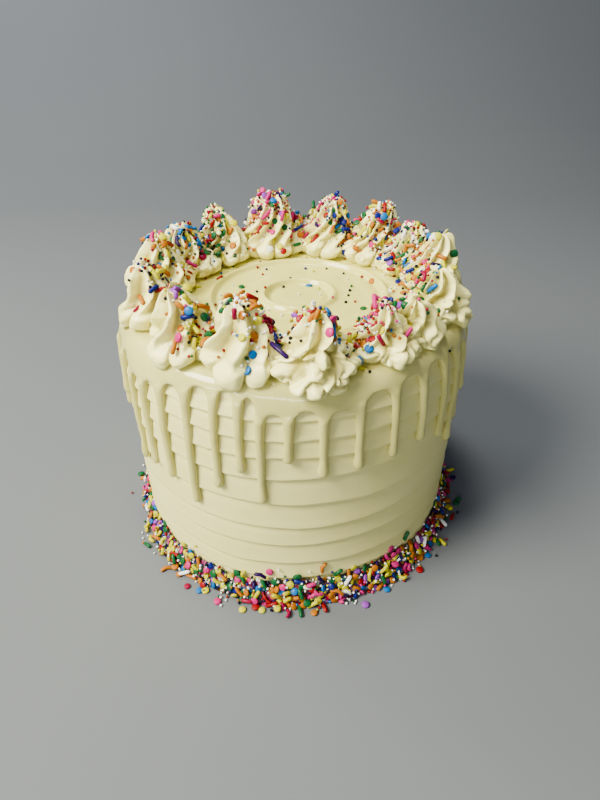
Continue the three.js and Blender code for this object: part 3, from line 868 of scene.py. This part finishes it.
class Handful:
    """Sprinkles of all kinds as they are strewn: each lies clear of those before it."""

    def __init__(self, seed):
        self.draw = random.Random(seed)
        self.laid = {kind: [] for kind in COLOUR_SHARES}
        self.grid = {}

    def crowded(self, place, reach):
        cell = 4.0
        home = [int(math.floor(v / cell)) for v in place]
        for dx in (-1, 0, 1):
            for dy in (-1, 0, 1):
                for dz in (-1, 0, 1):
                    for other, other_reach in self.grid.get(
                            (home[0] + dx, home[1] + dy, home[2] + dz), ()):
                        if (other - place).length < (reach + other_reach) * 0.8:
                            return True
        self.grid.setdefault(tuple(home), []).append((place, reach))
        return False

    def kind(self, discs, rods):
        share = self.draw.random()
        return "disc" if share < discs else "rod" if share < discs + rods else "ball"

    def colour(self, kind):
        shares = COLOUR_SHARES[kind]
        return self.draw.choices(list(shares), list(shares.values()))[0]

    def lay(self, kind, place, normal, tilt=20.0, colour=None, along=None, sink=0.25, stretch=None):
        """Lays one on a surface. It is left out where another is in its way."""
        normal = Vector(normal).normalized()
        lift = SPRINKLE_REST[kind] - sink
        centre = Vector(place) + normal * lift
        if self.crowded(centre, SPRINKLE_REACH[kind]):
            centre += normal * 1.3
            if self.draw.random() > 0.6 or self.crowded(centre, SPRINKLE_REACH[kind]):
                return False
        up = normal.copy()
        if kind != "ball":
            wobble = [self.draw.gauss(0, math.tan(math.radians(tilt)) / 1.6) for _ in range(3)]
            up = (normal + Vector(wobble)).normalized()
        side = Vector(along) if along else Vector([self.draw.uniform(-1, 1) for _ in range(3)])
        side = (side - up * side.dot(up)).normalized()
        turn = Matrix((side, up.cross(side), up)).transposed()
        low, high = {"disc": (0.84, 1.06), "rod": (0.62, 1.1), "ball": (0.85, 1.2)}[kind]
        stretch = stretch or self.draw.uniform(low, high)
        colour = colour or self.colour(kind)
        if kind == "ball":
            stretch *= {"white": 0.86, "navy": 1.12}.get(colour, 1.0)
        self.laid[kind].append((turn, centre, stretch, colour))
        return True


def strew_in_heaps(handful, pieces):
    """In heaps on the crowns and inner shoulders and between, a few elsewhere, none outside."""
    places, normals, areas = [], [], []
    for piece in pieces:
        points = coordinates(piece)
        corners = np.array([ring[:3] + ring[-1:] for ring in rings_in_order(piece)])
        first, second, third, last = (points[corners[:, turn]] for turn in range(4))
        facing = np.cross(third - first, last - second)
        size = np.linalg.norm(facing, axis=1)
        places.append((first + second + third + last) / 4)
        normals.append(facing / np.maximum(size, 1e-9)[:, None])
        areas.append(size / 2)
    places, normals, areas = map(np.concatenate, (places, normals, areas))
    ring = np.hypot(places[:, 0] - TOP_CENTRE.x, places[:, 1] - TOP_CENTRE.y)
    height = places[:, 2] - GLAZE_TOP
    up = np.clip((normals[:, 2] + 0.1) / 0.6, 0, 1)
    raised = np.clip((height - 1) / 4, 0, 1)
    shoulder = raised * np.clip(1 - (ring - 66) / 8, 0, 1)
    heaped = np.empty((len(HEAPS), len(places)))
    for row, (x, y, reach, thickness, _) in enumerate(HEAPS):
        away = np.hypot(places[:, 0] - x, places[:, 1] - y) / (0.85 * reach)
        heaped[row] = thickness * np.exp(-away ** 2)
    fallen = np.where(ring < 68, 0.6, 0.0)
    weights = areas * up * (0.04 * shoulder + heaped.sum(axis=0) * np.maximum(raised, fallen))
    nearest = heaped.argmax(axis=0)
    numbers = np.random.default_rng(41)
    chosen = numbers.choice(len(places), size=8600, p=weights / weights.sum())
    for index in chosen:
        kind = handful.kind(0.25, 0.14)
        colour = None
        favoured = HEAPS[nearest[index]][4]
        if favoured in COLOUR_SHARES[kind] and handful.draw.random() < FAVOURED_SHARE:
            colour = favoured
        handful.lay(kind, places[index], normals[index], 18, colour)


def surface_below(pieces):
    """What finds the point of some pieces that lies right below a place, and its normal."""
    points, faces = [], []
    for piece in pieces:
        start = len(points)
        points += coordinates(piece).tolist()
        faces += [[start + corner for corner in ring] for ring in rings_in_order(piece)]
    surface = BVHTree.FromPolygons(points, faces)

    def drop(x, y):
        place, normal = surface.ray_cast(Vector((x, y, 2 * BODY_HEIGHT)), Vector((0, 0, -1)))[:2]
        if place is None:
            # A ray right along an edge can slip between two faces.
            place, normal = surface.find_nearest(Vector((x, y, top_height(math.hypot(x, y), GLAZE))))[:2]
        return place, normal

    return drop


def strew_on_top(handful, drop):
    for kind, colour, x, y in LONE_SPRINKLES:
        place, normal = drop(x, y)
        handful.lay(kind, place, normal, 6, colour)
    handful.lay("rod", BRIDGING_ROD_CENTRE, (0.1, -0.3, 1), 0, "violet", along=BRIDGING_ROD_ALONG, sink=0.0,
                stretch=1.5)
    for _ in range(40):
        radius = 54 * math.sqrt(handful.draw.random())
        x, y = polar(radius, handful.draw.uniform(0, 360)).to_2d() + TOP_CENTRE
        place, normal = drop(x, y)
        handful.lay("ball" if radius < 47 else handful.kind(0.4, 0.2), place, normal, 6)


def bank_size(degrees):
    """Width and height of the bank at an angle: a slow, uneven drift round the foot."""
    a = math.radians(degrees)
    drift = 0.1 * math.sin(8 * a + 2.2) - 0.16 * math.cos(2 * a)
    climb = 0.12 * math.sin(4 * a + 0.4) + 0.1 * math.sin(11 * a)
    return BANK_WIDTH * (1 + drift), BANK_HEIGHT * (1 + climb)


def bank_point(degrees, share, scale=1.0):
    """A point of the bank's slope and its normal, from the toe at 0 to the wall at 1."""
    width, height = bank_size(degrees)
    width, height = width * scale, height * scale
    slope = ((0, width), (0.12, width - 1), (0.6, width * 0.5), (1, 0.4))
    radius = BODY_RADIUS + along(slope, share)
    ahead, behind = along(slope, min(1, share + 0.05)), along(slope, max(0, share - 0.05))
    normal = polar(0.1 * height, degrees) + Vector((0, 0, behind - ahead))
    return polar(radius, degrees, share * height), normal.normalized()


def sprinkle_bank():
    """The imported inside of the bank, drawn up from a ring on the floor to the wall."""
    deselect_all()
    sides, rows = 720, 12
    bpy.ops.mesh.primitive_circle_add(vertices=sides, radius=BODY_RADIUS * MM, location=(0, 0, 0))
    piece = bpy.context.object
    bpy.ops.object.mode_set(mode="EDIT")
    bpy.ops.mesh.select_mode(type="EDGE")
    bpy.ops.mesh.select_all(action="SELECT")
    for _ in range(rows + 2):
        bpy.ops.mesh.extrude_region_move(TRANSFORM_OT_translate={"value": (0, 0, MM)})
    bpy.ops.object.mode_set(mode="OBJECT")
    points = coordinates(piece)
    levels = np.rint(points[:, 2]).astype(int)
    result = []
    for (x, y, _), row in zip(points, levels):
        degrees = math.degrees(math.atan2(y, x))
        if row in (0, rows + 2):
            result.append(polar(BODY_RADIUS - 2, degrees, FLOOR_CLEARANCE))
            continue
        point, normal = bank_point(degrees, (row - 1) / rows, 0.82)
        lump = 0.5 * wave(point.x / 1.7, point.y / 1.7, point.z / 1.7, 51)
        point += normal * lump * smooth_step(1, 3, row)
        point.z = max(point.z, FLOOR_CLEARANCE)
        result.append(point)
    set_coordinates(piece, result)
    bpy.ops.object.mode_set(mode="EDIT")
    bpy.ops.mesh.select_all(action="SELECT")
    bpy.ops.mesh.remove_doubles(threshold=1e-3 * MM)
    bpy.ops.mesh.normals_make_consistent(inside=False)
    bpy.ops.object.mode_set(mode="OBJECT")
    shade_smooth(piece)
    return settle(piece, "sprinkle_bank", bank_material(), ["sprinkle_border"])


def strew_border(handful):
    """Piled against the wall, thinner at two sides, with some fallen clear of the bank."""
    draw = handful.draw

    def direction():
        """Degrees round the cake: drawn again, now and then, where the bank is thin."""
        degrees = draw.uniform(0, 360)
        if draw.random() < 0.6 * abs(math.cos(math.radians(degrees))) ** 3:
            degrees = draw.uniform(0, 360)
        return degrees

    for _ in range(5200):
        point, normal = bank_point(direction(), draw.random() ** 0.85, 0.84)
        point.z = max(point.z, 0.2)
        handful.lay(handful.kind(0.51, 0.18), point, normal, 28)
    for _ in range(560):
        degrees = direction()
        radius = BODY_RADIUS + bank_size(degrees)[0] * 0.74 + abs(draw.gauss(0, 1.9))
        handful.lay(handful.kind(0.45, 0.12), polar(radius, degrees, 0.3), (0, 0, 1), 9)
    for _ in range(240):
        degrees = direction()
        z = bank_size(degrees)[1] * 0.8 + draw.expovariate(1 / 1.8)
        handful.lay(handful.kind(0.4, 0.14), polar(BODY_RADIUS + 0.1, degrees, z),
                    polar(1, degrees, 0.1), 12)
    for _ in range(60):
        place = polar(BODY_RADIUS + draw.uniform(8, 13), draw.uniform(0, 360), 0.3)
        handful.lay(handful.kind(0.55, 0.15), place, (0, 0, 1), 5)


def poured(handful, kind, name, shapes):
    """All sprinkles of one kind as one mesh."""
    names = list(SPRINKLE_COLOURS)
    points, faces, colours = [], [], []
    start = 0
    for number, (turn, centre, stretch, colour) in enumerate(handful.laid[kind]):
        shape, shape_faces = shapes[kind][number % len(shapes[kind])]
        scaled = shape * np.array((stretch, 1.0, 1.0) if kind == "rod" else (stretch,) * 3)
        moved = scaled @ np.array(turn).T + np.array(centre)
        low = moved[:, 2].min()
        if low < FLOOR_CLEARANCE:
            moved[:, 2] += FLOOR_CLEARANCE - low
        points.append(moved)
        faces += [tuple(start + corner for corner in face) for face in shape_faces]
        colours += [names.index(colour)] * len(shape_faces)
        start += len(shape)
    mesh = bpy.data.meshes.new(name)
    mesh.from_pydata((np.concatenate(points) * MM).tolist(), [], faces)
    mesh.polygons.foreach_set("material_index", colours)
    piece = bpy.data.objects.new(name, mesh)
    bpy.context.scene.collection.objects.link(piece)
    for colour in names:
        mesh.materials.append(sugars[colour])
    shade_smooth(piece)
    deselect_all()
    return settle(piece, name, None)


def all_sprinkles(swirls, ring, plate):
    shapes = sprinkle_blanks()
    handful = Handful(61)
    strew_on_top(handful, surface_below([*swirls, ring, plate]))
    strew_in_heaps(handful, [*swirls, plate])
    strew_border(handful)
    sprinkle_bank()
    for kind in COLOUR_SHARES:
        poured(handful, kind, f"sugar_{kind}s", shapes)


# ------------------------------------------------------------------ camera, floor and light

PHOTO_HEIGHT_PX = 800
FOCAL_PX = 560.0
CAMERA_PLACE = (0.0, -243.1, 231.7)
CAMERA_PITCH = 36.02
CAMERA_YAW = 0.705
CAMERA_ROLL = -0.302


def photographer():
    data = bpy.data.cameras.new("camera")
    data.sensor_width = 36.0
    data.lens = FOCAL_PX * data.sensor_width / PHOTO_HEIGHT_PX
    data.clip_start, data.clip_end = 0.01, 50
    camera = bpy.data.objects.new("camera", data)
    bpy.context.scene.collection.objects.link(camera)
    pitch, yaw, roll = (math.radians(v) for v in (CAMERA_PITCH, CAMERA_YAW, CAMERA_ROLL))
    forward = Vector((math.sin(yaw) * math.cos(pitch), math.cos(yaw) * math.cos(pitch), -math.sin(pitch)))
    right = forward.cross(Vector((0, 0, 1))).normalized()
    up = right.cross(forward)
    rolled_right = right * math.cos(roll) + up * math.sin(roll)
    rolled_up = up * math.cos(roll) - right * math.sin(roll)
    rotation = Matrix((rolled_right, rolled_up, -forward)).transposed()
    camera.matrix_world = Matrix.Translation(Vector(CAMERA_PLACE) * MM) @ rotation.to_4x4()
    bpy.context.scene.camera = camera


SWEEP_START = 0.55
SWEEP_RADIUS = 1.1
SWEEP_STEPS = 12


def studio():
    """A pale paper sweep: flat under the cake, then up behind it in one wide curve."""
    deselect_all()
    bpy.ops.mesh.primitive_plane_add(size=1.0, location=(0, 0, 0))
    floor = bpy.context.object
    floor.name = "studio_floor"
    depth = 4
    floor.data.transform(Matrix.Diagonal((8, depth, 1, 1)))
    floor.data.transform(Matrix.Translation((0, SWEEP_START - depth / 2, 0)))
    bpy.ops.object.mode_set(mode="EDIT")
    bpy.ops.mesh.select_all(action="DESELECT")
    bpy.ops.object.mode_set(mode="OBJECT")
    for edge in floor.data.edges:
        ends = [floor.data.vertices[i].co.y for i in edge.vertices]
        edge.select = min(ends) > SWEEP_START - 0.1
    bpy.ops.object.mode_set(mode="EDIT")
    bpy.ops.mesh.select_mode(type="EDGE")
    turns = [math.pi / 2 * step / SWEEP_STEPS for step in range(SWEEP_STEPS + 1)]
    for low, high in zip(turns, turns[1:]):
        run = SWEEP_RADIUS * (math.sin(high) - math.sin(low))
        rise = SWEEP_RADIUS * (math.cos(low) - math.cos(high))
        bpy.ops.mesh.extrude_region_move(TRANSFORM_OT_translate={"value": (0, run, rise)})
    bpy.ops.mesh.extrude_region_move(TRANSFORM_OT_translate={"value": (0, 0, 2)})
    bpy.ops.object.mode_set(mode="OBJECT")
    bpy.ops.object.shade_smooth()
    material, tree, shader = new_material("studio_floor")
    drift = object_noise(tree, 1.5, 2)
    tint = ramp(tree, drift.outputs["Fac"], ((0.3, (0.108, 0.117, 0.126)), (0.7, (0.118, 0.127, 0.136))))
    tree.links.new(tint.outputs["Color"], shader.inputs["Base Color"])
    shader.inputs["Roughness"].default_value = 0.8
    shader.inputs["Specular IOR Level"].default_value = 0.2
    floor.data.materials.append(material)


def lamp(name, place, target, size, power, colour=(1, 1, 1)):
    data = bpy.data.lights.new(name, "AREA")
    data.shape = "ELLIPSE"
    data.size, data.size_y = size
    data.energy = power
    data.color = colour
    light = bpy.data.objects.new(name, data)
    light.location = place
    light.rotation_euler = (Vector(target) - Vector(place)).to_track_quat("-Z", "Y").to_euler()
    bpy.context.scene.collection.objects.link(light)


def lights():
    lamp("window", (-0.64, -0.32, 0.77), (0, 0, 0.07), (0.49, 0.49), 34, (1.0, 0.965, 0.81))
    lamp("ceiling", (-0.08, 0.03, 0.75), (0, 0, 0.1), (0.14, 0.14), 3.6, (1.0, 0.98, 0.9))
    lamp("strip", (-0.4, -0.9, 0.38), (0, 0, 0.08), (1.3, 0.03), 5.2, (0.95, 0.98, 1.0))
    lamp("backdrop", (-0.9, 0.7, 1.2), (-0.35, 1.6, 0.5), (0.8, 0.8), 29)
    world = bpy.data.worlds.new("room")
    world.use_nodes = True
    background = world.node_tree.nodes["Background"]
    background.inputs["Color"].default_value = (0.88, 0.95, 1.2, 1)
    background.inputs["Strength"].default_value = 0.22
    bpy.context.scene.world = world


# ------------------------------------------------------------------ all of it

photographer()
studio()
lights()
buttercream_body()
ring = glaze_ring()
plate = glaze_plate()
blank = swirl_blank()
swirls = [piped_swirl(index, blank) for index in range(len(SWIRLS))]
bpy.data.objects.remove(blank)
all_sprinkles(swirls, ring, plate)
